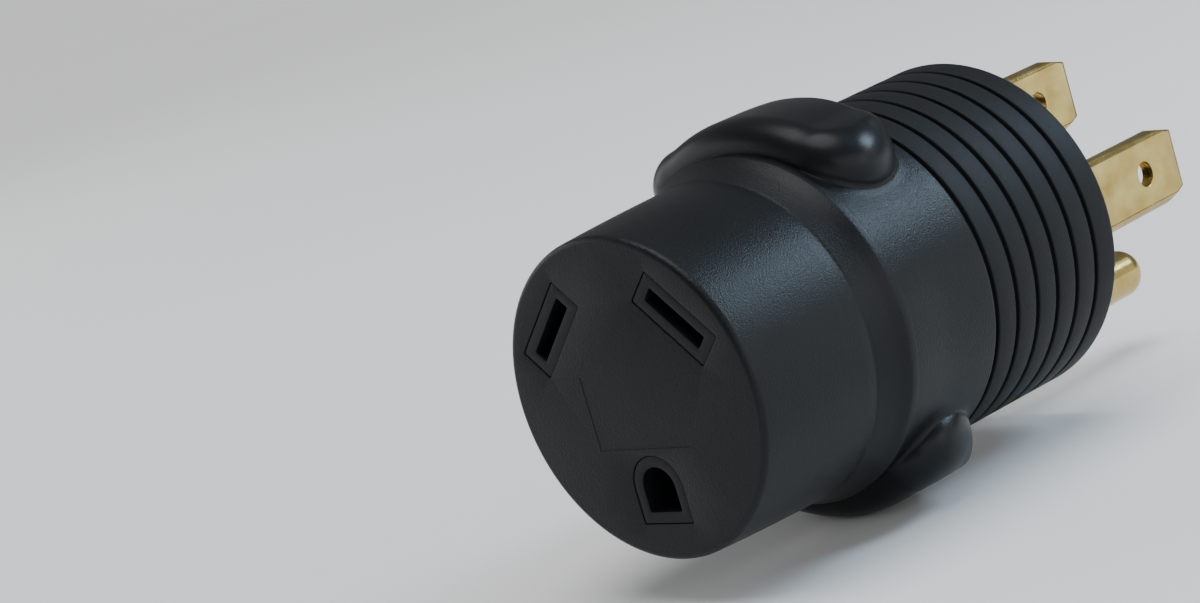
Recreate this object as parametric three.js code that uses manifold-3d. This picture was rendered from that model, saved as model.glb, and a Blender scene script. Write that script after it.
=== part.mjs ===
// One-piece moulded adapter: a 50 A, 14-50 plug on one end and a 30 A, TT-30 receptacle on the other.
// Millimetres, +Z up. The origin is the centre of the plug face. The blades point along +Y and the
// receptacle faces -Y, with the neutral blade above the axis and both ground ways below it.
import * as THREE from 'three';
import { mergeVertices } from 'three/addons/utils/BufferGeometryUtils.js';
import Module from 'manifold-3d';

const wasm = await Module();
wasm.setup();

// Fits shared by the whole assembly
const gap = 0.3; // clearance between neighbouring pieces
const roundSides = 48; // sides of the large round bodies
const smallSides = 16; // sides of the small round pieces
const wireSides = 10; // sides of the wires and their channels
const bendSteps = 14; // straight stretches between a wire's two crimps
const overlap = 0.5; // how far a cutting tool runs past a face

// Jacket, sizes along Y measured from the face that each name gives
const bodyLength = 66.5;
const plugRadius = 22.5;
const bandTaper = 0.4; // the ribbed stretch narrows by this much inwards
const waistTaper = 0.2; // and the waist by this much more
const receptacleRadius = 20;
const barrelTaper = 0.8; // the barrel widens by this much inwards
const barrelLength = 19.3;
const shoulderLength = 4.9;
const rimRound = 0.8;
const faceWall = 1.6;
const sideWall = 2; // around both inserts
const ribbedWall = 3.1; // around the core
const windowMargin = 1.4;
const bossRecess = 0.3;

// Ribs, counted from the plug face
const grooveCount = 6;
const groovePitch = 4.12;
const endBand = 4.5;
const grooveWidth = 1.1;
const grooveDepth = 0.8;
const grooveFloor = 0.4; // share of the width that is flat

// Finger grips, one above and one below
const gripHeight = 3.5; // beyond the plug radius
const gripHalfAngle = 48;
const gripWidth = 14.6;
const gripToRibs = 8.4; // from the middle of the grips to the innermost groove
const gripEdge = 2.2; // rounding of the long edges

// Plug blades and ground pin
const bladeSpacing = 28.3; // between the two hot blades
const neutralHeight = 11.4;
const groundDrop = 15.5;
const bladeLength = 26.9;
const bladeWidth = 10.3;
const bladeTipWidth = 7.9;
const bladeChamfer = 4.7;
const bladeThickness = 2;
const bladeHole = 3.7;
const bladeHoleFromTip = 7.9;
const bladeShoulder = 12.6;
const pinRadius = 3.3;
const pinLength = 30.4;
const pinFlangeRadius = 4;

// Receptacle slots and ground way
const slotRadius = 14; // slot centres from the axis
const slotAngle = 42; // slot centres above the horizontal
const slotTilt = 45;
const slotLength = 9;
const slotWidth = 1.9;
const groundWayWidth = 5.3;
const groundWayTop = -8.3;
const groundWayBottom = -13.9;

// Inner mouldings
const plugInsertDepth = 9.1;
const shoulderSeat = 3; // depth of the seats that hold the blade shoulders
const capThickness = 3.5;
const receptacleInsertDepth = 14;
const receptacleFront = 2.5; // wall behind the slots
const backThickness = 3.4;
const coreNeckEnd = 29; // from the receptacle face

// Contacts, crimps and wires
const leafThickness = 0.8;
const leafWidth = 8.2;
const leafGap = 1.9;
const contactLength = 10.5;
const groundSleeveRadius = 3;
const groundSleeveWall = 0.7;
const groundSleeveDrop = 11.5;
const springWall = 0.5;
const springWidth = 6;
const crimpBore = 1.6;
const insulationWall = 0.8;
const crimpWall = 0.6;
const crimpLength = 7;
const crimpSeam = 0.8;
const tailWidth = 3;
const conductorRadius = crimpBore - gap;
const insulationRadius = conductorRadius + insulationWall;
const channelRadius = crimpBore + crimpWall + gap;

// Radii that follow from the jacket
const bandRadius = plugRadius - bandTaper;
const waistRadius = bandRadius - waistTaper;
const barrelEndRadius = receptacleRadius + barrelTaper;
const gripRadius = plugRadius + gripHeight;
const plugInsertRadius = plugRadius - sideWall - gap;
const receptacleInsertRadius = receptacleRadius - sideWall - gap;
const coreRadius = bandRadius - ribbedWall - gap;

// Stations along Y
const receptacleFace = -bodyLength;
const plugInsertFront = -faceWall - gap;
const plugInsertBack = plugInsertFront - plugInsertDepth;
const capFront = plugInsertBack - gap;
const capBack = capFront - capThickness;
const coreFront = capBack - gap;
const receptacleInsertFront = receptacleFace + faceWall + gap;
const receptacleInsertBack = receptacleInsertFront + receptacleInsertDepth;
const backFront = receptacleInsertBack + gap;
const backEnd = backFront + backThickness;
const coreBack = backEnd + gap;
const coreStep = receptacleFace + coreNeckEnd;
const barrelEnd = receptacleFace + barrelLength;
const shoulderEnd = barrelEnd + shoulderLength;
const innermostGroove = -endBand - groovePitch * (grooveCount - 1);
const gripMiddle = innermostGroove - gripToRibs;

const radians = THREE.MathUtils.degToRad;
const bladeX = bladeSpacing / 2;
const slotX = slotRadius * Math.cos(radians(slotAngle));
const slotZ = slotRadius * Math.sin(radians(slotAngle));

// Materials
const finishes = {
  jacket: { color: '#26292c', roughness: 0.6, metalness: 0 },
  insert: { color: '#303133', roughness: 0.55, metalness: 0 },
  core: { color: '#4a4c4e', roughness: 0.7, metalness: 0 },
  brass: { color: '#c9a85c', roughness: 0.3, metalness: 1 },
  copper: { color: '#b5703f', roughness: 0.35, metalness: 1 },
  steel: { color: '#a9acb0', roughness: 0.3, metalness: 1 },
  black: { color: '#1d1d1f', roughness: 0.5, metalness: 0 },
  white: { color: '#e6e4de', roughness: 0.5, metalness: 0 },
  green: { color: '#2e7d46', roughness: 0.5, metalness: 0 },
};

const adapter = new THREE.Group();

function addPiece(name, geometry, finish) {
  const material = new THREE.MeshStandardMaterial(finishes[finish]);
  const piece = new THREE.Mesh(geometry, material);
  piece.name = name;
  adapter.add(piece);
}

// Joining and cutting of closed meshes

function solid(geometry) {
  const bare = geometry.clone();
  bare.deleteAttribute('normal');
  bare.deleteAttribute('uv');
  const merged = mergeVertices(bare, 1e-4);
  const triVerts = new Uint32Array(merged.index.array);
  const vertProperties = new Float32Array(merged.attributes.position.array);
  return new wasm.Manifold(new wasm.Mesh({ numProp: 3, vertProperties, triVerts }));
}

function geometryOf(body) {
  const mesh = body.getMesh();
  const geometry = new THREE.BufferGeometry();
  geometry.setAttribute('position', new THREE.BufferAttribute(mesh.vertProperties, 3));
  geometry.setIndex(new THREE.BufferAttribute(mesh.triVerts, 1));
  return geometry;
}

function join(...pieces) {
  return geometryOf(pieces.map(solid).reduce((whole, piece) => whole.add(piece)));
}

function cut(piece, ...tools) {
  return geometryOf(tools.map(solid).reduce((rest, tool) => rest.subtract(tool), solid(piece)));
}

function common(first, second) {
  return geometryOf(solid(first).intersect(solid(second)));
}

// Basic forms

function lathe(points, sides = roundSides) {
  return new THREE.LatheGeometry(points.map(([r, y]) => new THREE.Vector2(r, y)), sides);
}

function disc(radius, from, to, sides = roundSides) {
  return lathe([[0, from], [radius, from], [radius, to], [0, to]], sides);
}

// A shape drawn in X and Z, extruded along Y
function prism(shape, from, to) {
  const geometry = new THREE.ExtrudeGeometry(shape, {
    depth: to - from, bevelEnabled: false, curveSegments: smallSides / 2,
  });
  return geometry.rotateX(Math.PI / 2).translate(0, to, 0);
}

// A shape drawn in Y and Z, extruded along X with its mid-plane at x
function plate(shape, x, thickness) {
  const geometry = new THREE.ExtrudeGeometry(shape, {
    depth: thickness, bevelEnabled: false, curveSegments: smallSides / 2,
  });
  const [across, along, up] = [[1, 0, 0], [0, 1, 0], [0, 0, 1]].map((axis) => new THREE.Vector3(...axis));
  geometry.applyMatrix4(new THREE.Matrix4().makeBasis(along, up, across));
  return geometry.translate(x - thickness / 2, 0, 0);
}

function polygon(points) {
  return new THREE.Shape(points.map(([x, y]) => new THREE.Vector2(x, y)));
}

function rectangle(width, height) {
  const [x, y] = [width / 2, height / 2];
  return polygon([[-x, -y], [x, -y], [x, y], [-x, y]]);
}

function circle(radius, x = 0, y = 0) {
  const shape = new THREE.Shape();
  shape.absarc(x, y, radius, 0, Math.PI * 2);
  return shape;
}

// Ring with a seam, drawn round its own centre, the seam towards +Y of the drawing
function seamedRing(inner, outer, seam) {
  const [innerStart, outerStart] = [inner, outer].map((radius) => Math.PI / 2 + Math.asin(seam / 2 / radius));
  const shape = new THREE.Shape();
  shape.absarc(0, 0, outer, outerStart, Math.PI * 3 - outerStart);
  shape.absarc(0, 0, inner, Math.PI * 3 - innerStart, innerStart, true);
  return shape;
}

// Outlines that the windows, bosses and openings share, each grown by a margin

function bladeOutline(margin) {
  return rectangle(bladeThickness + margin * 2, bladeWidth + margin * 2);
}

function slotOutline(margin) {
  return rectangle(slotLength + margin * 2, slotWidth + margin * 2);
}

function groundWayOutline(margin) {
  const radius = groundWayWidth / 2 + margin;
  const centre = groundWayTop - groundWayWidth / 2;
  const shape = new THREE.Shape();
  shape.absarc(0, centre, radius, 0, Math.PI);
  shape.lineTo(-radius, groundWayBottom - margin);
  shape.lineTo(radius, groundWayBottom - margin);
  return shape;
}

const bladePlaces = [[bladeX, 0], [-bladeX, 0], [0, neutralHeight]];

function plugWays(margin, from, to) {
  const blades = bladePlaces.map(([x, z]) => prism(bladeOutline(margin), from, to).translate(x, 0, z));
  return [...blades, prism(circle(pinRadius + margin, 0, -groundDrop), from, to)];
}

// Side is 1 for the hot slot and -1 for the neutral slot
function atSlot(geometry, side) {
  return geometry.rotateY(radians(slotTilt) * side).translate(slotX * side, 0, slotZ);
}

function receptacleWays(margin, from, to) {
  const slots = [1, -1].map((side) => atSlot(prism(slotOutline(margin), from, to), side));
  return [...slots, prism(groundWayOutline(margin), from, to)];
}

// Wires: straight inside both crimps, with one smooth sideways shift between them

class ShiftedLine extends THREE.Curve {
  constructor(back, front, from, to) {
    super();
    Object.assign(this, { back, front, from, to });
  }

  getPoint(t, target = new THREE.Vector3()) {
    const y = THREE.MathUtils.lerp(this.from, this.to, t);
    const shift = THREE.MathUtils.smoothstep(y, backCrimpEnd + wireStep, frontCrimpEnd - wireStep);
    const x = THREE.MathUtils.lerp(this.back[0], this.front[0], shift);
    const z = THREE.MathUtils.lerp(this.back[1], this.front[1], shift);
    return target.set(x, y, z);
  }
}

const backCrimpStart = backFront;
const backCrimpEnd = backCrimpStart + crimpLength;
const frontCrimpStart = capBack - gap;
const frontCrimpEnd = frontCrimpStart - crimpLength;
const wireStep = (frontCrimpEnd - backCrimpEnd) / bendSteps;

const wires = [
  { name: 'hot', back: [slotX, slotZ], front: [bladeX, 0], finish: 'black' },
  { name: 'neutral', back: [-slotX, slotZ], front: [0, neutralHeight], finish: 'white' },
  { name: 'ground', back: [0, -groundSleeveDrop], front: [0, -groundDrop], finish: 'green' },
];

function alongWire(wire, shape, from, to) {
  const extrudePath = new ShiftedLine(wire.back, wire.front, from, to);
  const steps = Math.ceil((to - from) / wireStep);
  return new THREE.ExtrudeGeometry(shape, { extrudePath, steps, curveSegments: wireSides / 2 });
}

function addWires() {
  const cover = circle(insulationRadius);
  cover.holes.push(circle(conductorRadius + gap));
  for (const wire of wires) {
    const [from, to] = [backCrimpStart + gap * 2, frontCrimpStart - gap * 2];
    const conductor = alongWire(wire, circle(conductorRadius), from, to);
    const insulation = alongWire(wire, cover, backCrimpEnd + gap, frontCrimpEnd - gap);
    addPiece(`${wire.name}_conductor`, conductor, 'copper');
    addPiece(`${wire.name}_insulation`, insulation, wire.finish);
  }
}

// Jacket

function grooveProfile() {
  const points = [];
  for (let index = grooveCount - 1; index >= 0; index -= 1) {
    const y = -endBand - groovePitch * index;
    const share = index / (grooveCount - 1);
    const radius = THREE.MathUtils.lerp(plugRadius, bandRadius, share);
    const half = grooveWidth / 2;
    points.push([radius, y - half], [radius - grooveDepth, y - half * grooveFloor]);
    points.push([radius - grooveDepth, y + half * grooveFloor], [radius, y + half]);
  }
  return points;
}

function jacketBody() {
  return lathe([
    [0, receptacleFace],
    [receptacleRadius - rimRound, receptacleFace],
    [receptacleRadius, receptacleFace + rimRound],
    [barrelEndRadius, barrelEnd],
    [bandRadius, shoulderEnd],
    [waistRadius, (shoulderEnd + innermostGroove) / 2],
    ...grooveProfile(),
    [plugRadius, -rimRound],
    [plugRadius - rimRound, 0],
    [0, 0],
  ]);
}

// An arc-shaped ridge, cut to a stadium outline so that both ends are round
function fingerGrip() {
  const reach = radians(gripHalfAngle);
  const [low, high] = [waistRadius - sideWall, gripRadius - gripEdge];
  const sector = new THREE.Shape();
  sector.absarc(0, 0, high, Math.PI / 2 - reach, Math.PI / 2 + reach);
  sector.absarc(0, 0, low, Math.PI / 2 + reach, Math.PI / 2 - reach, true);
  const ridge = new THREE.ExtrudeGeometry(sector, {
    depth: gripWidth - gripEdge * 2, curveSegments: roundSides / 4,
    bevelSize: gripEdge, bevelThickness: gripEdge, bevelSegments: 2,
  });
  ridge.rotateX(Math.PI / 2).translate(0, gripWidth / 2 - gripEdge, 0);
  const halfWidth = gripWidth / 2;
  const straight = waistRadius * Math.sin(reach) + gripEdge - halfWidth;
  const stadium = new THREE.Shape();
  stadium.absarc(straight, 0, halfWidth, -Math.PI / 2, Math.PI / 2);
  stadium.absarc(-straight, 0, halfWidth, Math.PI / 2, Math.PI * 1.5);
  const mould = new THREE.ExtrudeGeometry(stadium, {
    depth: gripRadius * 2, bevelEnabled: false, curveSegments: smallSides / 2,
  });
  return common(ridge, mould).translate(0, gripMiddle, 0);
}

function jacketCavity() {
  return lathe([
    [0, receptacleInsertFront - gap],
    [receptacleInsertRadius + gap, receptacleInsertFront - gap],
    [receptacleInsertRadius + gap, coreStep - gap],
    [coreRadius + gap, coreStep - gap],
    [coreRadius + gap, coreFront + gap / 2],
    [plugInsertRadius + gap, coreFront + gap / 2],
    [plugInsertRadius + gap, -faceWall],
    [0, -faceWall],
  ]);
}

function addJacket() {
  const upper = fingerGrip();
  const lower = upper.clone().rotateY(Math.PI);
  const window = windowMargin + gap;
  const shell = cut(
    join(jacketBody(), upper, lower),
    jacketCavity(),
    ...plugWays(window, plugInsertFront - overlap - gap, overlap),
    ...receptacleWays(window, receptacleFace - overlap, receptacleInsertFront + overlap + gap),
  );
  addPiece('outer_jacket', shell, 'jacket');
}

// Plug insert and its cap

function bladeSeats() {
  const seat = rectangle(bladeThickness + gap * 2, bladeShoulder + gap * 2);
  const [from, to] = [plugInsertBack - overlap, plugInsertBack + shoulderSeat + gap];
  const seats = bladePlaces.map(([x, z]) => prism(seat, from, to).translate(x, 0, z));
  return [...seats, prism(circle(pinFlangeRadius + gap, 0, -groundDrop), from, to)];
}

function addPlugInserts() {
  const bosses = plugWays(windowMargin, plugInsertFront - overlap, -bossRecess);
  const ways = plugWays(gap, plugInsertBack - overlap, overlap);
  const body = join(disc(plugInsertRadius, plugInsertBack, plugInsertFront), ...bosses);
  addPiece('plug_insert', cut(body, ...ways, ...bladeSeats()), 'insert');
  const tailWay = rectangle(bladeThickness + gap * 2, tailWidth + gap * 2);
  const [from, to] = [capBack - overlap, capFront + overlap];
  const tails = bladePlaces.map(([x, z]) => prism(tailWay, from, to).translate(x, 0, z));
  const pinTail = prism(circle(channelRadius, 0, -groundDrop), from, to);
  addPiece('plug_insert_cap', cut(disc(plugInsertRadius, capBack, capFront), ...tails, pinTail), 'insert');
}

// Blades and pin

function crimp(from, to) {
  return prism(seamedRing(crimpBore, crimpBore + crimpWall, crimpSeam), from, to);
}

function blade(wired) {
  const half = bladeWidth / 2;
  const shoulderFront = plugInsertBack + shoulderSeat;
  const tailEnd = wired ? frontCrimpStart : capBack;
  const bend = bladeLength - bladeChamfer;
  const outline = polygon([
    [tailEnd, -tailWidth / 2], [plugInsertBack, -tailWidth / 2], [plugInsertBack, -bladeShoulder / 2],
    [shoulderFront, -bladeShoulder / 2], [shoulderFront, -half], [bend, -half],
    [bladeLength, -bladeTipWidth / 2], [bladeLength, bladeTipWidth / 2], [bend, half],
    [shoulderFront, half], [shoulderFront, bladeShoulder / 2], [plugInsertBack, bladeShoulder / 2],
    [plugInsertBack, tailWidth / 2], [tailEnd, tailWidth / 2],
  ]);
  outline.holes.push(circle(bladeHole / 2, bladeLength - bladeHoleFromTip, 0));
  const flat = plate(outline, 0, bladeThickness);
  if (!wired) {
    return flat;
  }
  const barrel = crimp(frontCrimpEnd, frontCrimpStart);
  const root = disc(crimpBore + crimpWall, frontCrimpStart - gap, frontCrimpStart + gap, smallSides);
  return join(flat, barrel, root);
}

function groundPin() {
  const flangeFront = plugInsertBack + shoulderSeat;
  const tailRadius = crimpBore + crimpWall;
  const dome = [];
  const domeSteps = smallSides / 4;
  for (let step = 0; step <= domeSteps; step += 1) {
    const turn = (Math.PI / 2) * (step / domeSteps);
    dome.push([pinRadius * Math.cos(turn), pinLength - pinRadius + pinRadius * Math.sin(turn)]);
  }
  dome[domeSteps][0] = 0;
  const shaft = lathe([
    [0, frontCrimpStart - gap], [tailRadius, frontCrimpStart - gap], [tailRadius, plugInsertBack],
    [pinFlangeRadius, plugInsertBack], [pinFlangeRadius, flangeFront], [pinRadius, flangeFront], ...dome,
  ], smallSides);
  return join(shaft, crimp(frontCrimpEnd, frontCrimpStart)).translate(0, 0, -groundDrop);
}

function addBlades() {
  addPiece('live_blade', blade(true).translate(bladeX, 0, 0), 'brass');
  addPiece('idle_blade', blade(false).translate(-bladeX, 0, 0), 'brass');
  addPiece('neutral_blade', blade(true).translate(0, 0, neutralHeight), 'brass');
  addPiece('plug_ground_pin', groundPin(), 'brass');
}

// Receptacle: contacts, the chambers that hold them, and the back

const contactThickness = leafGap + leafThickness * 2;
const contactFront = receptacleInsertFront + receptacleFront + gap;
const contactBack = contactFront + contactLength;
const sleeveOuter = groundSleeveRadius + groundSleeveWall;
const springOuter = sleeveOuter + gap + springWall;

function chambers() {
  const room = rectangle(leafWidth + gap * 2, contactThickness + gap * 2);
  const [from, to] = [contactFront - gap, receptacleInsertBack + overlap];
  const slots = [1, -1].map((side) => atSlot(prism(room, from, to), side));
  return [...slots, prism(circle(springOuter + gap, 0, -groundSleeveDrop), from, to)];
}

function addReceptacleInserts() {
  const tipRecess = receptacleFace + bossRecess;
  const bosses = receptacleWays(windowMargin, tipRecess, receptacleInsertFront + overlap);
  const ways = receptacleWays(0, receptacleFace - overlap, contactFront);
  const body = join(disc(receptacleInsertRadius, receptacleInsertFront, receptacleInsertBack), ...bosses);
  addPiece('receptacle_insert', cut(body, ...ways, ...chambers()), 'insert');
  const channel = prism(circle(channelRadius), backFront - overlap, coreBack);
  const tailWays = wires.map(({ back: [x, z] }) => channel.clone().translate(x, 0, z));
  const back = cut(disc(receptacleInsertRadius, backFront, backEnd), ...tailWays);
  addPiece('receptacle_insert_back', back, 'insert');
}

// Folded strip: two leaves, a bridge at the back, and a neck that carries the crimp barrel
function slotContact(side) {
  const offset = (leafGap + leafThickness) / 2;
  const leaf = prism(rectangle(leafWidth, leafThickness), contactFront, contactBack);
  const bridge = prism(rectangle(leafWidth, contactThickness), contactBack - leafThickness, contactBack);
  const neck = disc(contactThickness / 2, contactBack - gap, backCrimpStart + gap, smallSides);
  const root = disc(crimpBore + crimpWall, backCrimpStart, backCrimpStart + gap, smallSides);
  const pair = [leaf.clone().translate(0, 0, offset), leaf.translate(0, 0, -offset)];
  return atSlot(join(...pair, bridge, neck, root, crimp(backCrimpStart, backCrimpEnd)), side);
}

function groundContact() {
  const sleeve = prism(seamedRing(groundSleeveRadius, sleeveOuter, crimpSeam), contactFront, contactBack);
  const floor = disc(sleeveOuter, contactBack - leafThickness, contactBack, smallSides);
  const tail = disc(crimpBore + crimpWall, contactBack - gap, backCrimpStart + gap, smallSides);
  return join(sleeve, floor, tail, crimp(backCrimpStart, backCrimpEnd)).translate(0, 0, -groundSleeveDrop);
}

function addContacts() {
  addPiece('hot_contact', slotContact(1), 'brass');
  addPiece('neutral_contact', slotContact(-1), 'brass');
  addPiece('ground_contact', groundContact(), 'brass');
  const ring = seamedRing(sleeveOuter + gap, springOuter, crimpSeam * 2);
  const [from, to] = [contactFront + gap, contactFront + gap + springWidth];
  addPiece('ground_contact_spring', prism(ring, from, to).translate(0, 0, -groundSleeveDrop), 'steel');
}

// Inner core with one channel for each wire and its crimps
function addCore() {
  const body = lathe([
    [0, coreBack], [receptacleInsertRadius, coreBack], [receptacleInsertRadius, coreStep],
    [coreRadius, coreStep], [coreRadius, coreFront], [0, coreFront],
  ]);
  const channel = circle(channelRadius);
  const [from, to] = [coreBack - overlap, coreFront + overlap];
  const channels = wires.map((wire) => alongWire(wire, channel, from, to));
  addPiece('inner_core', cut(body, ...channels), 'core');
}

addJacket();
addReceptacleInserts();
addContacts();
addCore();
addWires();
addPlugInserts();
addBlades();

export default adapter;
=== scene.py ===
# Looks of a one-piece moulded power adapter: a jacket with ribs and two finger grips, folded brass blades
# at one end and slots at the other. Metres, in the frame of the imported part: +Y runs out of the plug face
# with the blades, +Z points at the neutral blade and the receptacle faces -Y.
from math import atan2, cos, hypot, pi, radians, sin, sqrt, tau

import bmesh
import bpy
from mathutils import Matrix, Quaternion, Vector


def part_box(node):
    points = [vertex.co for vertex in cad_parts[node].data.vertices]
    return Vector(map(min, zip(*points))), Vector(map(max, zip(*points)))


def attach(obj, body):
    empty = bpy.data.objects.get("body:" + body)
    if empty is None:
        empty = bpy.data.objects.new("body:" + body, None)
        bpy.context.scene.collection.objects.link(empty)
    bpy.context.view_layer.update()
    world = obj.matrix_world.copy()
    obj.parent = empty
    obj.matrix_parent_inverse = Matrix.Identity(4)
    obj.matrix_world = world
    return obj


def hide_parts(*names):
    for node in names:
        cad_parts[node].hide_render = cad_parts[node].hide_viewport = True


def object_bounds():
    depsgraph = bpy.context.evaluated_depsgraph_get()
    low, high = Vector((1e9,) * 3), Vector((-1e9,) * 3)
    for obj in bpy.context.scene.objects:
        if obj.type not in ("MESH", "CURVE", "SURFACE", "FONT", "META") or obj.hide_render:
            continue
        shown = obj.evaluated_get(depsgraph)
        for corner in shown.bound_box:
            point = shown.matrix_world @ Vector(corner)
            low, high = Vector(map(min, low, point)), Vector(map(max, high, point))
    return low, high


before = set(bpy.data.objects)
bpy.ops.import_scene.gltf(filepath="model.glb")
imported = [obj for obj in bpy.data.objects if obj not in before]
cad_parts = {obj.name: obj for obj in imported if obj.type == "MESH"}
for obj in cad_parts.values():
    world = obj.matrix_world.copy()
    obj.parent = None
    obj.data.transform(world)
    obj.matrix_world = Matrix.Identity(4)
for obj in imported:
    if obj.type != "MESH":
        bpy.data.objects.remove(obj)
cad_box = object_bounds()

MM = 0.001
weld_distance = 1e-7

# Places and sizes that follow from the CAD pieces

jacket_low, jacket_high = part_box("outer_jacket")
plug_face = jacket_high.y
receptacle_face = jacket_low.y
plug_radius = jacket_high.x
live_low, live_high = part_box("live_blade")
neutral_low, neutral_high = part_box("neutral_blade")
pin_low, pin_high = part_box("plug_ground_pin")
plug_insert_low, plug_insert_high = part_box("plug_insert")
slot_insert_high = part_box("receptacle_insert")[1]
core_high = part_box("inner_core")[1]

# Jacket, stations measured from the receptacle face. Here and below, a value without a unit is a share, a
# count or a power

body_length = plug_face - receptacle_face
barrel_radius = 20.0 * MM
barrel_end_radius = 20.8 * MM
barrel_length = 19.3 * MM
shoulder_length = 4.9 * MM
body_radius = 22.2 * MM
waist_radius = 21.9 * MM
band_radius = 22.1 * MM
rim_round = 0.8 * MM
face_wall = 1.6 * MM
jacket_steps = 360
inner_steps = 96
crease_width = 0.25 * MM
crease_depth = 0.06 * MM
crest_rise = 0.15 * MM
crest_length = 1.3 * MM
crest_start = 0.6
barrel_bow = 0.5
shoulder_hollow = 0.3
cavity_step = 28.7 * MM
piece_gap = 0.3 * MM
shoulder_end = barrel_length + shoulder_length

groove_count = 6
groove_pitch = 4.12 * MM
end_band = 4.5 * MM
groove_half_width = 0.38 * MM
groove_depth = 0.8 * MM
groove_lip = 0.2 * MM
innermost_groove = body_length - end_band - groove_pitch * (groove_count - 1)

# Finger grips, stations measured from their middle, which lies this far from the receptacle face

grip_middle = 33.0 * MM
grip_half_width = 7.3 * MM
grip_half_length = 18.6 * MM
grip_arc_radius = 22.0 * MM
grip_field = 7.55 * MM
grip_field_reach = radians(54) * grip_arc_radius
grip_height = 4.0 * MM
grip_swell = 0.9 * MM
grip_swell_start = radians(24)
grip_swell_end = radians(37)
grip_crown = 0.55 * MM
grip_front_wall = 4.5 * MM
grip_back_wall = 1.7 * MM
grip_back_widening = 1.4 * MM
grip_back_hollow = 0.6 * MM
grip_nose_wall = 5.4 * MM
grip_nose_softness = 0.7
grip_nose_turn = 0.85
grip_fillet_width = 1.6 * MM
grip_fillet_height = 0.5 * MM

# Windows in the two faces, the bosses in them and the rule cut into the receptacle face

window_margin = 1.47 * MM
boss_margin = 1.4 * MM
boss_recess = 0.12 * MM
boss_recess_cad = 0.3 * MM
edge_round = 0.08 * MM
edge_turns = [radians(angle) for angle in (0, 30, 60, 90)]
tight_corner = 0.25 * MM
rule_left = -7.9 * MM
rule_right = 7.45 * MM
rule_top = 3.4 * MM
rule_bottom = -5.95 * MM
rule_width = 0.35 * MM
rule_sink = 0.06 * MM
rule_edge = 0.03 * MM

# Slots, ground way and the rooms behind them

slot_length = 9.0 * MM
slot_width = 1.9 * MM
slot_circle = 14.0 * MM
slot_rise = radians(42)
slot_tilt = radians(45)
slot_x = slot_circle * cos(slot_rise)
slot_z = slot_circle * sin(slot_rise)
way_half_width = 2.65 * MM
way_top = -8.3 * MM
way_bottom = -13.9 * MM
way_depth = 4.4 * MM
contact_room = (9.2 * MM, 4.1 * MM)
ground_room_radius = 4.8 * MM
ground_room_z = -11.5 * MM
insert_rim = 0.3 * MM

# Blades: two folded leaves, long edges rolled over, with a hole, a dimple and a pressed tip

blade_thickness = 2.0 * MM
blade_width = 10.3 * MM
blade_tip_width = 7.9 * MM
blade_chamfer = 4.7 * MM
blade_way_gap = 0.12 * MM
leaf_gap = 0.03 * MM
seam_round = 0.1 * MM
roll_depth = 0.85 * MM
roll_width = 0.9 * MM
roll_turns = [radians(angle) for angle in (0, 18, 36, 54, 72, 90)]
rolled_sides = (5, 9)
cut_end_share = 0.3
fold_step = 0.1 * MM
hole_radius = 1.65 * MM
hole_from_tip = 7.9 * MM
hole_lip = 0.12 * MM
dimple_radius = 1.0 * MM
dimple_height = 0.15 * MM
dimple_y = plug_face + 7.2 * MM
tip_taper_length = 1.7 * MM
tip_taper = 0.35
tail_half_width = 1.5 * MM

# Ground pin, seats in the plug insert, and the crimps behind them

pin_radius = 3.3 * MM
flange_radius = 4 * MM
seat_depth = 3 * MM
seat_length = 13.2 * MM
seat_gap = 0.3 * MM
crimp_front_drop = 4.1 * MM
crimp_inner = 1.6 * MM
crimp_outer = 2.2 * MM
crimp_seam = radians(22)

# Patterns of the finishes. The real grain and rolling lines are finer, and are drawn coarse enough to show

moulded_black = ("0e1012", "15181b")
pvc_roughness = (0.3, 0.4)
pvc_grain = 0.2 * MM
pvc_grain_depth = 0.05 * MM
pvc_cloud = 9 * MM
polish_start = 0.1 * MM
polish_end = 1.2 * MM
polished_grain = 0.2
rib_dullness = 0.2
plastic_cloud = 5 * MM
plastic_sheen_spread = 0.06
plastic_grain_depth = 0.02 * MM
rolling_line = 0.25 * MM
rolling_line_depth = 0.006 * MM
rolling_stretch = 0.04
streak_polish = 0.08
streak_dullness = 0.1
stain_size = 4 * MM
board_cloud = 200 * MM

# Places of the blades and the pin

blade_y_end = live_high.y
live_x = (live_low.x + live_high.x) / 2
neutral_z = (neutral_low.z + neutral_high.z) / 2
pin_z = (pin_low.z + pin_high.z) / 2
blade_places = ((live_x, 0), (-live_x, 0), (0, neutral_z))


def smooth_share(value, start, end):
    """0 before start, 1 after end, and an even ease between them."""
    share = min(max((value - start) / (end - start), 0), 1)
    return share * share * (3 - 2 * share)


# Mesh steps shared by the pieces


def finish_piece(bm, name, node, material, crease=40):
    """Cleans a bmesh and makes it the piece that stands for a CAD node. Marked faces stay flat in shading."""
    bmesh.ops.remove_doubles(bm, verts=bm.verts, dist=weld_distance)
    bmesh.ops.recalc_face_normals(bm, faces=bm.faces)
    for face in bm.faces:
        face.smooth = face.material_index == 0
        face.material_index = 0
    mesh = bpy.data.meshes.new(name)
    bm.to_mesh(mesh)
    bm.free()
    mesh.set_sharp_from_angle(angle=radians(crease))
    mesh.materials.append(material)
    piece = bpy.data.objects.new(name, mesh)
    bpy.context.scene.collection.objects.link(piece)
    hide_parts(node)
    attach(piece, "root")


def closed_loop(bm, points):
    """A closed ring of edges through the points."""
    verts = [bm.verts.new(point) for point in points]
    return [bm.edges.new((verts[i - 1], verts[i])) for i in range(len(verts))]


def loop_across(bm, outline, y):
    """An outline of (x, z) points as a ring at one station."""
    return closed_loop(bm, [(x, y, z) for x, z in outline])


def bridge_all(bm, rings):
    """Joins each ring to the next with a band of faces."""
    for first, second in zip(rings, rings[1:]):
        bmesh.ops.bridge_loops(bm, edges=first + second)


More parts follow.
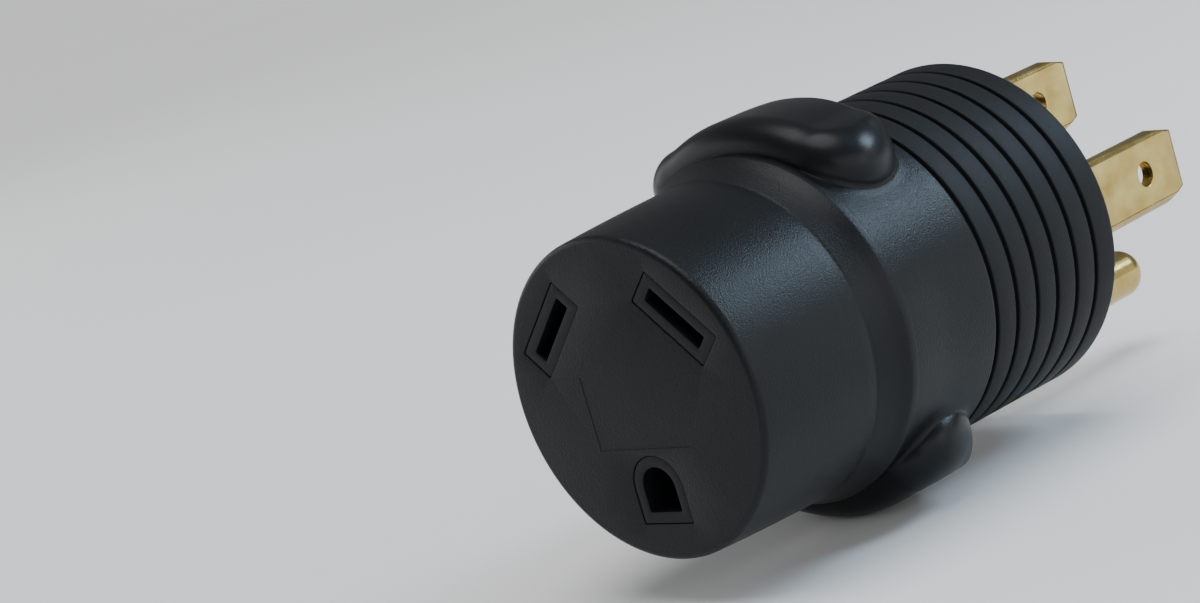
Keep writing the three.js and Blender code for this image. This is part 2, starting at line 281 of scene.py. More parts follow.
def fill_between(bm, rings):
    """A flat face with the first ring as its rim and the others as holes, marked to stay flat in shading."""
    edges = [edge for ring in rings for edge in ring]
    filled = bmesh.ops.triangle_fill(bm, use_beauty=True, use_dissolve=False, edges=edges)
    for item in filled["geom"]:
        if isinstance(item, bmesh.types.BMFace):
            item.material_index = 1


def spin_profile(bm, profile, steps, centre=(0, 0, 0)):
    """Turns a line of (radius, y) points right round an axis along Y."""
    x, _, z = centre
    verts = [bm.verts.new((x + radius, y, z)) for radius, y in profile]
    edges = [bm.edges.new(pair) for pair in zip(verts, verts[1:])]
    bmesh.ops.spin(bm, geom=verts + edges, cent=centre, axis=(0, 1, 0), angle=tau, steps=steps,
                   use_merge=True)


def rings_at(bm, y):
    """The open edges at one station."""
    tolerance = 1e-6
    return [edge for edge in bm.edges
            if edge.is_boundary and all(abs(vert.co.y - y) < tolerance for vert in edge.verts)]


# Outlines across the axis, each grown by a margin


def corner(centre_x, centre_z, radius, start, steps=6):
    """A quarter arc from one direction, in quarter turns."""
    turns = [(start + step / steps) * pi / 2 for step in range(steps + 1)]
    return [(centre_x + radius * cos(turn), centre_z + radius * sin(turn)) for turn in turns]


def round_rectangle(width, height, radius, margin=0):
    """A rectangle about the origin, grown by a margin, with the same tight corners at any size."""
    x = width / 2 + margin - radius
    z = height / 2 + margin - radius
    upper = corner(x, z, radius, 0) + corner(-x, z, radius, 1)
    return upper + corner(-x, -z, radius, 2) + corner(x, -z, radius, 3)


def circle(radius, steps=40):
    """A round outline about the origin."""
    turns = [tau * step / steps for step in range(steps)]
    return [(radius * cos(turn), radius * sin(turn)) for turn in turns]


def moved(outline, x, z, turn=0):
    """An outline turned about its own middle, then moved."""
    return [(x + a * cos(turn) - b * sin(turn), z + a * sin(turn) + b * cos(turn)) for a, b in outline]


def blade_outline(margin):
    """A blade cut across, standing upright."""
    return round_rectangle(blade_thickness, blade_width, tight_corner, margin)


def slot_outline(side, margin):
    """Side is 1 for the hot slot and -1 for the neutral slot."""
    outline = round_rectangle(slot_length, slot_width, tight_corner, margin)
    return moved(outline, side * slot_x, slot_z, -side * slot_tilt)


def ground_way_outline(margin):
    """An arch: half round above, two tight corners below."""
    top_steps = 20
    centre = way_top - way_half_width
    half = way_half_width + margin
    turns = [pi * step / top_steps for step in range(top_steps + 1)]
    arch = [(half * cos(turn), centre + half * sin(turn)) for turn in turns]
    foot_x = half - tight_corner
    foot_z = way_bottom - margin + tight_corner
    return arch + corner(-foot_x, foot_z, tight_corner, 2) + corner(foot_x, foot_z, tight_corner, 3)


def plug_outlines(margin):
    """The three blades and the ground pin, as they pass through the plug face."""
    blades = [moved(blade_outline(margin), x, z) for x, z in blade_places]
    return blades + [moved(circle(pin_radius + margin), 0, pin_z)]


def receptacle_outlines(margin):
    """The two slots and the ground way in the receptacle face."""
    return [slot_outline(1, margin), slot_outline(-1, margin), ground_way_outline(margin)]


# Jacket


def arc_points(centre_radius, centre_station, size, start, end, steps):
    """An arc in (radius, station), its angles in degrees from outwards towards the plug."""
    turns = [radians(start + (end - start) * step / steps) for step in range(steps + 1)]
    return [(centre_radius + size * cos(turn), centre_station + size * sin(turn)) for turn in turns]


def side_radius(station):
    """Radius of the smooth middle of the body, with a faint swelling behind the shoulder's crest."""
    crest = crest_rise * (1 - smooth_share(station, shoulder_end, shoulder_end + crest_length))
    middle = (shoulder_end + innermost_groove) / 2
    if station < middle:
        narrowing = (waist_radius - body_radius) * smooth_share(station, shoulder_end, middle)
        return crest + body_radius + narrowing
    return waist_radius + (band_radius - waist_radius) * smooth_share(station, middle, innermost_groove)


def rib_radius(station):
    """Radius of the ribs, which widen evenly to the plug end."""
    share = (station - innermost_groove) / (body_length - innermost_groove)
    return band_radius + (plug_radius - band_radius) * share


def groove_points(station):
    """One groove: a rounded lip, a full round floor and a second lip."""
    radius = rib_radius(station)
    lip_turns = [radians(angle) for angle in (90, 60, 30, 0)]
    edge = groove_half_width + groove_lip
    first = [(radius - groove_lip * (1 - sin(turn)), station - edge + groove_lip * cos(turn))
             for turn in lip_turns]
    floor = radius - groove_depth + groove_half_width
    bowl = arc_points(floor, station, groove_half_width, 270, 90, 9)
    second = [(a, 2 * station - b) for a, b in reversed(first)]
    return first + bowl + second


def shoulder_points():
    """The step up from the barrel to the body: a fine crease, a hollow slope and a soft crest."""
    line = [(barrel_end_radius, barrel_length - crease_width)]
    line.append((barrel_end_radius - crease_depth, barrel_length))
    steps = 20
    for step in range(1, steps + 1):
        share = step / steps
        slope = (1 - shoulder_hollow) * share + shoulder_hollow * share ** 2
        radius = barrel_end_radius + (body_radius - barrel_end_radius) * slope
        radius += crest_rise * smooth_share(share, crest_start, 1)
        line.append((radius, barrel_length + shoulder_length * share))
    return line


def jacket_profile():
    """The outer line from the receptacle rim to the plug rim, in (radius, station). The barrel flares less
    and less towards the shoulder."""
    line = arc_points(barrel_radius - rim_round, rim_round, rim_round, -90, 0, 8)
    barrel_steps = 10
    for step in range(1, barrel_steps):
        share = step / barrel_steps
        station = rim_round + (barrel_length - rim_round) * share
        flare = (1 + barrel_bow) * share - barrel_bow * share ** 2
        line.append((barrel_radius + (barrel_end_radius - barrel_radius) * flare, station))
    line += shoulder_points()
    field_steps = 60
    for step in range(field_steps + 1):
        station = grip_middle + grip_field * (2 * step / field_steps - 1)
        line.append((side_radius(station), station))
    for index in range(groove_count - 1, -1, -1):
        line += groove_points(body_length - end_band - groove_pitch * index)
    return line + arc_points(plug_radius - rim_round, body_length - rim_round, rim_round, 0, 90, 8)


# Finger grips. Each place on the body is its arc length round from the grip's crest and its distance along


def place_on_body(point, side):
    """Arc length round and distance along, for the grip above (side 1) or below (side -1)."""
    return atan2(point.x, side * point.z) * grip_arc_radius, point.y - receptacle_face - grip_middle


def point_on_body(around, along, lift, side):
    """The point at this place on the body, lifted off it."""
    radius = side_radius(grip_middle + along) + lift
    turn = around / grip_arc_radius
    return Vector((radius * sin(turn), receptacle_face + grip_middle + along, side * radius * cos(turn)))


def grip_top_lift(around, along):
    """Height of the grip's top over the body: a low crown that swells towards both ends."""
    turn = abs(around) / grip_arc_radius
    swell = grip_swell * smooth_share(turn, grip_swell_start, grip_swell_end)
    return grip_height + swell - grip_crown * (along / grip_half_width) ** 2


def grip_rings():
    """The rings from the field's rim inwards: on the body, up the fillet and the wall, then over the top."""
    outside = [("fillet", share) for share in (0.9, 0.75, 0.6, 0.45, 0.3, 0.18, 0.08)]
    wall_steps = 18
    wall = [("wall", pi / 2 * step / wall_steps) for step in range(wall_steps + 1)]
    return outside + wall + [("top", share) for share in (0.85, 0.7, 0.55, 0.4, 0.25, 0.12, 0)]


def grip_wall(around, out_along, nose):
    """How far the wall leans in from the grip's foot: soft in front, steep behind, longest at the noses."""
    if out_along <= 0:
        side_wall = grip_front_wall
    else:
        spine = grip_half_length - grip_half_width
        side_wall = grip_back_wall + grip_back_widening * smooth_share(abs(around), spine / 3, spine)
    return grip_nose_wall * nose + side_wall * (1 - nose)


def grip_ring_point(around, along, ring, side):
    """Where a rim point ends up on one ring, on its own line to the grip's spine."""
    kind, value = ring
    spine = grip_half_length - grip_half_width
    root = min(max(around, -spine), spine)
    reach = hypot(around - root, along)
    out_around, out_along = (around - root) / reach, along / reach
    nose = smooth_share(abs(out_around), 0, grip_nose_turn)
    hollow = grip_back_hollow * (1 - smooth_share(abs(around), 0, spine)) if along > 0 else 0
    foot = grip_half_width - hollow
    wall = grip_wall(around, out_along, nose)
    fillet = grip_fillet_height * nose
    if kind == "fillet":
        distance = foot + (reach - foot) * value
        inside = max(1 - (distance - foot) / max(grip_fillet_width * nose, 1e-9), 0)
        lift = fillet * (1 - sqrt(1 - inside ** 2))
    elif kind == "wall":
        distance = foot - wall * (1 - cos(value))
        top = foot - wall
        rise = grip_top_lift(root + out_around * top, out_along * top)
        power = 1 + grip_nose_softness * nose * smooth_share(out_along, -0.5, 0.5)
        lift = fillet + (rise - fillet) * sin(value) ** power
    else:
        distance = (foot - wall) * value
        lift = grip_top_lift(root + out_around * distance, out_along * distance)
    return point_on_body(root + out_around * distance, out_along * distance, lift, side)


def raise_grip(bm, side):
    """Opens a field in the body and closes it again with rings that climb to the grip's top."""
    start = bm.verts.layers.float_vector.new(f"start_{side}")

    def within(point, slack):
        """Whether a point lies in the field that the grip stands in."""
        around, along = place_on_body(point, side)
        return abs(along) < grip_field + slack and abs(around) < grip_field_reach + slack

    under = [face for face in bm.faces if within(face.calc_center_median(), 0)]
    bmesh.ops.delete(bm, geom=under, context="FACES")
    slack = 1e-6
    rim = [edge for edge in bm.edges if edge.is_boundary and all(within(v.co, slack) for v in edge.verts)]
    for vert in {vert for edge in rim for vert in edge.verts}:
        vert[start] = (*place_on_body(vert.co, side), 0)
    for ring in grip_rings():
        made = bmesh.ops.extrude_edge_only(bm, edges=rim)["geom"]
        for vert in made:
            if isinstance(vert, bmesh.types.BMVert):
                around, along, _ = vert[start]
                vert.co = grip_ring_point(around, along, ring, side)
        rim = [edge for edge in made if isinstance(edge, bmesh.types.BMEdge) and edge.is_boundary]
    bm.verts.layers.float_vector.remove(start)


def rounded_way(bm, outlines, number, face, inwards, margin, depth):
    """One opening from a flat face inwards: a rounded edge and a straight wall. Returns its two end rings."""
    rings = []
    for turn in edge_turns:
        outline = outlines(margin + edge_round * (1 - sin(turn)))[number]
        rings.append(loop_across(bm, outline, face + inwards * edge_round * (1 - cos(turn))))
    rings.append(loop_across(bm, outlines(margin)[number], face + inwards * depth))
    bridge_all(bm, rings)
    return rings[0], rings[-1]


def cut_windows(bm, outlines, face, inwards):
    """The windows in one face of the jacket. Returns their rings in the face and at the back of the wall."""
    ends = [rounded_way(bm, outlines, number, face, inwards, window_margin, face_wall)
            for number in range(len(outlines(0)))]
    return [front for front, _ in ends], [back for _, back in ends]


def rule_mark_outline(margin):
    """The thin rule cut into the receptacle face: one upright line and one level line."""
    left = rule_left - margin
    right = rule_right + margin
    top = rule_top + margin
    bottom = rule_bottom - margin
    inner_x = rule_left + rule_width + margin
    inner_z = rule_bottom + rule_width + margin
    outer = [(left, top), (left, bottom), (right, bottom)]
    return outer + [(right, inner_z), (inner_x, inner_z), (inner_x, top)]


def cut_rule_mark(bm):
    """Sinks the rule a little and closes its floor. Returns the ring at its rim."""
    rim = loop_across(bm, rule_mark_outline(rule_edge), receptacle_face)
    floor = loop_across(bm, rule_mark_outline(0), receptacle_face + rule_sink)
    bridge_all(bm, [rim, floor])
    fill_between(bm, [floor])
    return rim


def jacket_cavity_profile():
    """The inner line, stepped to clear the two inserts and the core between them, in (radius, y)."""
    slot_radius = slot_insert_high.x + piece_gap
    core_radius = core_high.x + piece_gap
    plug_side_radius = plug_insert_high.x + piece_gap
    slot_end = receptacle_face + cavity_step
    plug_end = plug_insert_low.y - piece_gap
    return [(slot_radius, receptacle_face + face_wall), (slot_radius, slot_end), (core_radius, slot_end),
            (core_radius, plug_end), (plug_side_radius, plug_end), (plug_side_radius, plug_face - face_wall)]


def make_jacket(material):
    """The whole overmoulding: outer skin, grips, cavity, and both faces with their windows."""
    bm = bmesh.new()
    outer_line = [(radius, receptacle_face + station) for radius, station in jacket_profile()]
    spin_profile(bm, outer_line, jacket_steps)
    bmesh.ops.remove_doubles(bm, verts=bm.verts, dist=weld_distance)
    raise_grip(bm, 1)
    raise_grip(bm, -1)
    plug_rim = rings_at(bm, plug_face)
    slot_rim = rings_at(bm, receptacle_face)
    spin_profile(bm, jacket_cavity_profile(), inner_steps)
    plug_wall = rings_at(bm, plug_face - face_wall)
    slot_wall = rings_at(bm, receptacle_face + face_wall)
    plug_mouths, plug_backs = cut_windows(bm, plug_outlines, plug_face, -1)
    slot_mouths, slot_backs = cut_windows(bm, receptacle_outlines, receptacle_face, 1)
    fill_between(bm, [plug_rim, *plug_mouths])
    fill_between(bm, [plug_wall, *plug_backs])
    fill_between(bm, [slot_rim, *slot_mouths, cut_rule_mark(bm)])
    fill_between(bm, [slot_wall, *slot_backs])
    finish_piece(bm, "jacket", "outer_jacket", material, crease=50)


# Inserts behind the two faces


def raise_bosses(bm, outlines, top, inwards, floor, way_margin, depth):
    """Bosses with rounded edges, each with its way in. Returns the rings at their feet and the ways' ends."""
    feet, ends = [], []
    for number in range(len(outlines(0))):
        side = [loop_across(bm, outlines(boss_margin)[number], floor)]
        for turn in edge_turns:
            outline = outlines(boss_margin - edge_round * (1 - cos(turn)))[number]
            side.append(loop_across(bm, outline, top + inwards * edge_round * (1 - sin(turn))))
        bridge_all(bm, side)
        way_front, way_end = rounded_way(bm, outlines, number, top, inwards, way_margin, depth)
        fill_between(bm, [side[-1], way_front])
        feet.append(side[0])
        ends.append(way_end)
    return feet, ends


def make_insert(name, node, material, outlines, top, inwards, way_margin, depth, rooms):
    """A disc with bosses in front and a wider room behind each way, open at the back."""
    low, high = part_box(node)
    radius = high.x
    front, back = (low.y, high.y) if inwards > 0 else (high.y, low.y)
    floor = front + inwards * (face_wall + piece_gap - boss_recess_cad)
    bm = bmesh.new()
    profile = [(radius - insert_rim, floor), (radius, floor + inwards * insert_rim),
               (radius, back - inwards * insert_rim), (radius - insert_rim, back)]
    spin_profile(bm, profile, inner_steps)
    disc_front = rings_at(bm, floor)
    disc_back = rings_at(bm, back)
    feet, ends = raise_bosses(bm, outlines, top, inwards, floor, way_margin, depth)
    fill_between(bm, [disc_front, *feet])
    room_backs = []
    for room, end in zip(rooms, ends):
        room_front = loop_across(bm, room, top + inwards * depth)
        fill_between(bm, [room_front, end])
        room_back = loop_across(bm, room, back)
        bridge_all(bm, [room_front, room_back])
        room_backs.append(room_back)
    fill_between(bm, [disc_back, *room_backs])
    finish_piece(bm, name, node, material)


def make_receptacle_insert(material):
    """The hard plate whose bosses show in the receptacle face, with a room for each contact."""
    chamber = round_rectangle(*contact_room, tight_corner)
    rooms = [moved(chamber, slot_x, slot_z, -slot_tilt), moved(chamber, -slot_x, slot_z, slot_tilt)]
    rooms.append(moved(circle(ground_room_radius), 0, ground_room_z))
    top = receptacle_face + boss_recess
    depth = way_depth - boss_recess
    make_insert("slot_plate", "receptacle_insert", material, receptacle_outlines, top, 1, 0, depth, rooms)


def make_plug_insert(material):
    """The hard carrier that holds the blades and the pin by their shoulders."""
    seat = round_rectangle(blade_thickness + 2 * seat_gap, seat_length, tight_corner)
    rooms = [moved(seat, x, z) for x, z in blade_places]
    rooms.append(moved(circle(flange_radius + seat_gap), 0, pin_z))
    top = plug_face - boss_recess
    depth = top - (plug_insert_low.y + seat_depth + seat_gap)
    make_insert("blade_plate", "plug_insert", material, plug_outlines, top, -1, blade_way_gap, depth, rooms)


# Blades and ground pin


def inset(points, depths):
    """A straight-sided outline, anticlockwise, with each side moved inwards. A side ends at its own point."""
    made = []
    for index, here in enumerate(points):
        following = (index + 1) % len(points)
        before = (here - points[index - 1]).normalized()
        after = (points[following] - here).normalized()
        first = Vector((-before.y, before.x))
        second = Vector((-after.y, after.x))
        shift = Vector((second.y * depths[index] - first.y * depths[following],
                        first.x * depths[following] - second.x * depths[index]))
        made.append(here + shift / (first.x * second.y - first.y * second.x))
    return made


def blade_sides(tail_end):
    """The blade's outline in (y, z): tail, shoulder in its seat, long sides and cut corners. The long sides,
    which are rolled, end at points 5 and 9."""
    back = plug_insert_low.y
    seat = back + seat_depth
    half = blade_width / 2
    tip = blade_tip_width / 2
    bend = blade_y_end - blade_chamfer
    shoulder = (live_high.z - live_low.z) / 2
    lower = [(tail_end, -tail_half_width), (back, -tail_half_width), (back, -shoulder), (seat, -shoulder),
             (seat, -half), (bend, -half), (blade_y_end, -tip)]
    upper = [(y, -z) for y, z in reversed(lower)]
    return [Vector(point) for point in lower + upper]


def loop_along(bm, outline, x, centre):
    """An outline of (y, z) points as a ring at one distance from the blade's middle."""
    return closed_loop(bm, [(centre.x + x, y, centre.z + z) for y, z in outline])


def leaf_rings(bm, sides, centre, hand):
    """The edge of one leaf, from its inner face to its outer one. Cut ends are rounded only a little."""
    levels = [(leaf_gap, seam_round), (leaf_gap + seam_round, 0)]
    levels += [(blade_thickness / 2 - roll_depth * (1 - sin(turn)), roll_width * (1 - cos(turn)))
               for turn in roll_turns]
    levels.append((blade_thickness / 2 - fold_step, roll_width + fold_step))
    shares = [1 if index in rolled_sides else cut_end_share for index in range(len(sides))]
    return [loop_along(bm, inset(sides, [depth * share for share in shares]), hand * x, centre)
            for x, depth in levels]


def add_blade_leaf(bm, sides, centre, hand):
    """One of the two folded leaves: flat inside, its long edges rolled over outside, with hole and dimple."""
    face = blade_thickness / 2 - fold_step
    rings = leaf_rings(bm, sides, centre, hand)
    bridge_all(bm, rings)
    hole_y = blade_y_end - hole_from_tip
    mouth = [(leaf_gap, 0)]
    mouth += [(face - hole_lip * (1 - sin(turn)), hole_lip * (1 - cos(turn))) for turn in roll_turns]
    hole = [loop_along(bm, moved(circle(hole_radius + grown, 32), hole_y, 0), hand * x, centre)
            for x, grown in mouth]
    bridge_all(bm, hole)
    swell = [(face + dimple_height * sin(turn), dimple_radius * cos(turn)) for turn in roll_turns[:-1]]
    dimple = [loop_along(bm, moved(circle(radius, 20), dimple_y, 0), hand * x, centre) for x, radius in swell]
    bridge_all(bm, dimple)
    fill_between(bm, [rings[0], hole[0]])
    fill_between(bm, [rings[-1], hole[-1], dimple[0]])
    fill_between(bm, [dimple[-1]])


def thin_the_tip(bm, centre):
    """Presses the last stretch of the blade thinner towards its end."""
    start = blade_y_end - tip_taper_length
    bmesh.ops.bisect_plane(bm, geom=bm.verts[:] + bm.edges[:] + bm.faces[:], plane_co=(0, start, 0),
                           plane_no=(0, 1, 0), dist=weld_distance)
    for vert in bm.verts:
        share = max(vert.co.y - start, 0) / tip_taper_length
        vert.co.x = centre.x + (vert.co.x - centre.x) * (1 - tip_taper * share)


def add_crimp(bm, x, z, front, back):
    """A rolled barrel with an open seam, its wall bored for the wire."""
    corners = [(crimp_inner, back), (crimp_outer, back), (crimp_outer, front), (crimp_inner, front)]
    verts = [bm.verts.new((x + radius, y, z)) for radius, y in corners]
    edges = [bm.edges.new((verts[i - 1], verts[i])) for i in range(4)]
    made = bmesh.ops.spin(bm, geom=verts + edges, cent=(x, 0, z), axis=(0, 1, 0), angle=tau - crimp_seam,
                          steps=28)
    last = [item for item in made["geom_last"] if isinstance(item, bmesh.types.BMEdge)]
    fill_between(bm, [edges])
    fill_between(bm, [last])


def make_blade(name, node, material, wired):
    """One folded blade. A wired blade ends in a crimp, the idle one in a plain tail."""
    low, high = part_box(node)
    centre = Vector(((low.x + high.x) / 2, 0, (low.z + high.z) / 2))
    front = plug_insert_low.y - crimp_front_drop
    bm = bmesh.new()
    sides = blade_sides(front if wired else low.y)
    add_blade_leaf(bm, sides, centre, 1)
    add_blade_leaf(bm, sides, centre, -1)
    thin_the_tip(bm, centre)
    if wired:
        add_crimp(bm, centre.x, centre.z, front, low.y)
    finish_piece(bm, name, node, material, crease=35)


def make_ground_pin(material):
    """A round pin with a domed end, a flange in its seat and a crimp behind."""
    back = plug_insert_low.y
    seat = back + seat_depth
    root = back - crimp_front_drop
    dome = arc_points(0, pin_high.y - pin_radius, pin_radius, 0, 90, 14)
    dome[-1] = (0, pin_high.y)
    shaft = [(0, root), (crimp_outer, root), (crimp_outer, back), (flange_radius, back),
             (flange_radius, seat), (pin_radius, seat)]
    bm = bmesh.new()
    spin_profile(bm, shaft + dome, 64, centre=(0, 0, pin_z))
    add_crimp(bm, 0, pin_z, root - leaf_gap, pin_low.y)
    finish_piece(bm, "ground_pin", "plug_ground_pin", material, crease=35)


# Finishes


def linear(value):
    """An sRGB hex colour as linear RGBA."""
    channels = [int(value[i:i + 2], 16) / 255 for i in (0, 2, 4)]
    return [c / 12.92 if c <= 0.04045 else ((c + 0.055) / 1.055) ** 2.4 for c in channels] + [1]


def add_node(tree, kind, inputs=None, **settings):
    """Adds a node with its settings, and fills or links its inputs by name or number."""
    node = tree.nodes.new(kind)
    for name, value in settings.items():
        setattr(node, name, value)
    for name, value in (inputs or {}).items():
        if isinstance(value, bpy.types.NodeSocket):
            tree.links.new(value, node.inputs[name])
        else:
            node.inputs[name].default_value = value
    return node


def new_finish(name):
    """An empty material, its node tree and its object coordinates."""
    material = bpy.data.materials.new(name)
    material.use_nodes = True
    tree = material.node_tree
    tree.nodes.clear()
    return material, tree, add_node(tree, "ShaderNodeTexCoord").outputs["Object"]


def clouded_colour(tree, place, size, dark, light):
    """Two close colours that drift into each other over patches of this size. A colour mix takes them as its
    inputs 6 and 7, and gives its colour as output 2."""
    cloud = add_node(tree, "ShaderNodeTexNoise", {"Vector": place, "Scale": 1 / size, "Detail": 3})
    mix = add_node(tree, "ShaderNodeMix", {0: cloud.outputs["Fac"], 6: linear(dark), 7: linear(light)},
                   data_type="RGBA")
    return mix.outputs[2]


def spark_eroded_pvc():
    """Soft black PVC from a spark-eroded mould: an even fine grain that breaks up the shine. The grips were
    polished in the mould, so they stand out by a closer shine, and the ribs are the dullest part."""
    material, tree, place = new_finish("spark_eroded_black_pvc")
    off_axis = add_node(tree, "ShaderNodeVectorMath", {0: place, 1: (1, 0, 1)}, operation="MULTIPLY")
    radius = add_node(tree, "ShaderNodeVectorMath", {0: off_axis.outputs[0]}, operation="LENGTH")
    grained = add_node(tree, "ShaderNodeMapRange", {
        "Value": radius.outputs["Value"], "From Min": body_radius + polish_start,
        "From Max": body_radius + polish_end, "To Min": 1, "To Max": polished_grain})
    grain = add_node(tree, "ShaderNodeTexNoise", {"Vector": place, "Scale": 1 / pvc_grain, "Detail": 2})
    height = add_node(tree, "ShaderNodeMath", {0: grain.outputs["Fac"], 1: grained.outputs["Result"]},
                      operation="MULTIPLY")
    sheen = add_node(tree, "ShaderNodeMapRange", {
        "Value": height.outputs[0], "To Min": pvc_roughness[0], "To Max": pvc_roughness[1]})
    station = add_node(tree, "ShaderNodeSeparateXYZ", {0: place})
    first_rib = receptacle_face + innermost_groove
    dullness = add_node(tree, "ShaderNodeMapRange", {
        "Value": station.outputs["Y"], "From Min": first_rib - groove_half_width,
        "From Max": first_rib + groove_half_width, "To Max": rib_dullness})
    roughness = add_node(tree, "ShaderNodeMath", {0: sheen.outputs["Result"], 1: dullness.outputs["Result"]})
    bump = add_node(tree, "ShaderNodeBump", {"Height": height.outputs[0], "Distance": pvc_grain_depth})
    shader = add_node(tree, "ShaderNodeBsdfPrincipled", {
        "Base Color": clouded_colour(tree, place, pvc_cloud, *moulded_black), "IOR": 1.53,
        "Specular IOR Level": 0.18, "Roughness": roughness.outputs[0], "Normal": bump.outputs["Normal"]})
    add_node(tree, "ShaderNodeOutputMaterial", {"Surface": shader.outputs["BSDF"]})
    return material


def moulded_plastic(name, dark, light, rough, grain_size, shine=0.5):
    """Hard moulded plastic: an even colour with faint clouding and a slight satin texture."""
    material, tree, place = new_finish(name)
    grain = add_node(tree, "ShaderNodeTexNoise", {"Vector": place, "Scale": 1 / grain_size})
    sheen = add_node(tree, "ShaderNodeMapRange", {
        "Value": grain.outputs["Fac"], "To Min": rough - plastic_sheen_spread,
        "To Max": rough + plastic_sheen_spread})
    bump = add_node(tree, "ShaderNodeBump", {"Height": grain.outputs["Fac"], "Distance": plastic_grain_depth})
    shader = add_node(tree, "ShaderNodeBsdfPrincipled", {
        "Base Color": clouded_colour(tree, place, plastic_cloud, dark, light), "IOR": 1.5,
        "Specular IOR Level": shine, "Roughness": sheen.outputs["Result"], "Normal": bump.outputs["Normal"]})
    add_node(tree, "ShaderNodeOutputMaterial", {"Surface": shader.outputs["BSDF"]})
    return material


def rolled_metal(name, dark, light, rough):
    """Rolled and stamped strip: fine lines along the length, a little tarnish and a satin shine."""
    material, tree, place = new_finish(name)
    along = add_node(tree, "ShaderNodeMapping", {"Vector": place, "Scale": (1, rolling_stretch, 1)})
    lines = add_node(tree, "ShaderNodeTexNoise", {
        "Vector": along.outputs[0], "Scale": 1 / rolling_line, "Detail": 3, "Roughness": 0.6})
    sheen = add_node(tree, "ShaderNodeMapRange", {
        "Value": lines.outputs["Fac"], "To Min": rough - streak_polish,
        "To Max": rough + streak_dullness})
    bump = add_node(tree, "ShaderNodeBump", {
        "Height": lines.outputs["Fac"], "Distance": rolling_line_depth})
    stain = add_node(tree, "ShaderNodeTexNoise", {"Vector": place, "Scale": 1 / stain_size, "Detail": 4})
    worn = add_node(tree, "ShaderNodeMapRange", {
        "Value": stain.outputs["Fac"], "From Min": 0.25, "From Max": 0.75})
    colour = add_node(tree, "ShaderNodeMix", {0: worn.outputs["Result"], 6: linear(dark), 7: linear(light)},
                      data_type="RGBA")
    shader = add_node(tree, "ShaderNodeBsdfPrincipled", {
        "Base Color": colour.outputs[2], "Metallic": 1, "Roughness": sheen.outputs["Result"],
        "Normal": bump.outputs["Normal"]})
    add_node(tree, "ShaderNodeOutputMaterial", {"Surface": shader.outputs["BSDF"]})
    return material


def matte_board():
    """Painted studio board: pale, matte, faintly uneven."""
    material, tree, place = new_finish("matte_pale_board")
    shader = add_node(tree, "ShaderNodeBsdfPrincipled", {
        "Base Color": clouded_colour(tree, place, board_cloud, "f0f0f0", "f6f6f6"), "IOR": 1.45,
        "Roughness": 0.8})
    add_node(tree, "ShaderNodeOutputMaterial", {"Surface": shader.outputs["BSDF"]})
    return material


# The adapter

pvc = spark_eroded_pvc()

# Harder and a little smoother than the jacket, so the bosses in the windows catch a thin edge of light
insert_plastic = moulded_plastic("satin_black_nylon", *moulded_black, 0.36, 0.3 * MM, shine=0.18)

# Bright yellow strip and rod, with soft streaks along the blades and browner patches from handling
blade_brass = rolled_metal("rolled_brass", "a88a45", "d0b974", 0.22)

make_jacket(pvc)
make_receptacle_insert(insert_plastic)
make_plug_insert(insert_plastic)
make_blade("live_blade_folded", "live_blade", blade_brass, True)
make_blade("idle_blade_folded", "idle_blade", blade_brass, False)
make_blade("neutral_blade_folded", "neutral_blade", blade_brass, True)
make_ground_pin(blade_brass)

# Inside: duller stamped brass that glows in the slots, red drawn copper, grey spring steel, and the grey
# and coloured PVC of the first moulding and the wire covers
contact_brass = rolled_metal("stamped_brass", "8d6d36", "b99555", 0.38)
copper = rolled_metal("drawn_copper", "8f4a28", "c9744a", 0.35)
steel = rolled_metal("spring_steel_strip", "7f8388", "b9bcc0", 0.3)
inner_finishes = {
    "receptacle_insert_back": insert_plastic,
    "plug_insert_cap": insert_plastic,
    "inner_core": moulded_plastic("grey_core_pvc", "3c3e40", "4a4c4e", 0.6, 0.5 * MM),
    "hot_contact": contact_brass,
    "neutral_contact": contact_brass,
    "ground_contact": contact_brass,
    "ground_contact_spring": steel,
    "hot_conductor": copper,
    "neutral_conductor": copper,
    "ground_conductor": copper,
    "hot_insulation": moulded_plastic("black_wire_pvc", "141416", "202022", 0.4, 0.6 * MM),
    "neutral_insulation": moulded_plastic("white_wire_pvc", "dcdad2", "ebe9e2", 0.4, 0.6 * MM),
    "ground_insulation": moulded_plastic("green_wire_pvc", "24693a", "318a4d", 0.4, 0.6 * MM),
}
for node, finish in inner_finishes.items():
    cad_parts[node].data.materials.clear()
    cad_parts[node].data.materials.append(finish)

# Studio: pale floor, soft lights and the camera. Metres, and degrees round and above the adapter

middle = (cad_box[0] + cad_box[1]) / 2
floor_reach = 20
camera_place = (42.1, 10.7)
camera_distance = 0.3657
camera_heading = (47.9, 9.7)
camera_lean = radians(-16.55)
lens_length = 85.7
film_width = 36
near_clip = 0.01


def lay_floor():
    """A level floor under the lower grip, wide enough to run on to the skyline."""
    bm = bmesh.new()
    bmesh.ops.create_grid(bm, x_segments=8, y_segments=8, size=floor_reach)
    bmesh.ops.translate(bm, verts=bm.verts, vec=(0, 0, cad_box[0].z))
    mesh = bpy.data.meshes.new("floor")
    bm.to_mesh(mesh)
    bm.free()
    mesh.materials.append(matte_board())
    floor = bpy.data.objects.new("floor", mesh)
    bpy.context.scene.collection.objects.link(floor)


def direction(azimuth, elevation):
    """From the adapter outwards: azimuth 0 stands in front of the receptacle, 90 beside the live blade."""
    turn, rise = radians(azimuth), radians(elevation)
    return Vector((sin(turn) * cos(rise), -cos(turn) * cos(rise), sin(rise)))


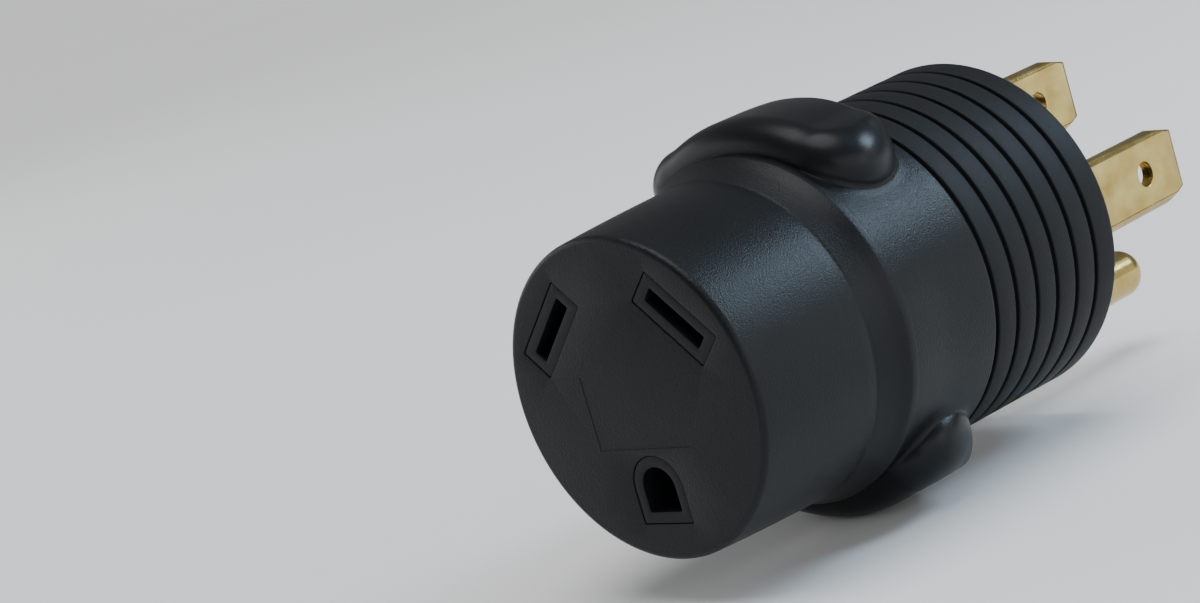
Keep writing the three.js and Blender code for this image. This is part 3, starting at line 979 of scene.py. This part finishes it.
def hang_softbox(name, place, distance, size, power, colour="ffffff"):
    """A rectangle of light of this width and height, facing the adapter from one place round it."""
    light = bpy.data.lights.new(name, "AREA")
    light.shape = "RECTANGLE"
    light.size, light.size_y = size
    light.energy = power
    light.color = linear(colour)[:3]
    lamp = bpy.data.objects.new(name, light)
    out = direction(*place)
    lamp.location = middle + out * distance
    lamp.rotation_euler = out.to_track_quat("Z", "Y").to_euler()
    bpy.context.scene.collection.objects.link(lamp)


def hang_ceiling_light(place, strength, spread):
    """A wide, even light overhead that reaches the whole floor."""
    light = bpy.data.lights.new("ceiling_light", "SUN")
    light.energy = strength
    light.angle = spread
    lamp = bpy.data.objects.new("ceiling_light", light)
    lamp.rotation_euler = direction(*place).to_track_quat("Z", "Y").to_euler()
    bpy.context.scene.collection.objects.link(lamp)


def light_the_room(strength):
    """An even pale glow from all round, which keeps the shadows open."""
    world = bpy.data.worlds.new("pale_room")
    world.use_nodes = True
    background = world.node_tree.nodes["Background"]
    background.inputs["Color"].default_value = linear("f2f4f6")
    background.inputs["Strength"].default_value = strength
    bpy.context.scene.world = world


def place_camera():
    """A long lens close by, looking a little past the adapter and leaning over."""
    lens = bpy.data.cameras.new("camera")
    lens.lens = lens_length
    lens.sensor_width = film_width
    lens.clip_start = near_clip
    camera = bpy.data.objects.new("camera", lens)
    camera.location = middle + direction(*camera_place) * camera_distance
    heading = (-direction(*camera_heading)).to_track_quat("-Z", "Y")
    camera.rotation_mode = "QUATERNION"
    camera.rotation_quaternion = heading @ Quaternion((0, 0, 1), camera_lean)
    bpy.context.scene.collection.objects.link(camera)
    bpy.context.scene.camera = camera


lay_floor()
light_the_room(0.24)
hang_softbox("key_softbox", (146, 33), 0.7, (0.2, 0.24), 2.9, "cbe7ff")
hang_softbox("side_card", (122, 12), 0.9, (0.8, 0.5), 1.2)
hang_softbox("side_fill", (80, 15), 0.9, (1.2, 0.5), 2.5)
hang_softbox("left_card", (-70, 18), 0.9, (1.0, 0.5), 2.5)
hang_ceiling_light((60, 85), 2.05, radians(50))
place_camera()
